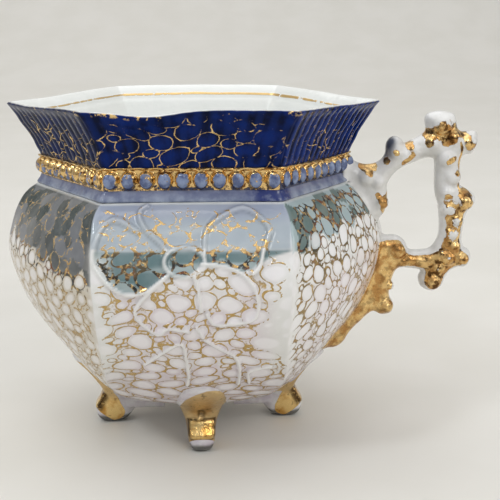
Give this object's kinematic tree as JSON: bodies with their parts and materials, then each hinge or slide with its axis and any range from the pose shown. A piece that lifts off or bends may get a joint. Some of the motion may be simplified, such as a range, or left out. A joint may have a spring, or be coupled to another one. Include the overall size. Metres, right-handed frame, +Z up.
{
  "type": "shaving mug",
  "caption": "Footed porcelain shaving mug with a panelled bulbous bowl, beaded neck, flared fluted hexagonal collar and knobbed twig handle.",
  "frame": {"origin": "centre of the whole mug's footprint, handle included, on the plane that the feet stand on", "axes": "+Z up, +X from the bowl towards the handle, -Y towards the front panel; the bowl's own axis stands at x = -0.0124 m"},
  "size_m": [0.1243, 0.092, 0.0885],
  "materials": {
    "decorated_porcelain": "glossy glaze over a grey-blue and lilac ground with gold tracery",
    "violet_glaze": "glossy pale blue-violet glaze",
    "gilt_beading": "glossy blue-violet beads with worn gold between them",
    "cobalt_glaze": "glossy cobalt glaze outside, white glaze inside, fine gold tracery",
    "gilt_feet": "burnished gold over white glaze",
    "gilt_twig": "glossy white glaze with worn burnished gold"
  },
  "bodies": {
    "root": {"bowl": "decorated_porcelain", "neck_moulding": "violet_glaze", "bead_band": "gilt_beading", "collar": "cobalt_glaze", "foot_right": "gilt_feet", "foot_back": "gilt_feet", "foot_left": "gilt_feet", "foot_front": "gilt_feet", "handle": "gilt_twig"}
  },
  "joints": []
}
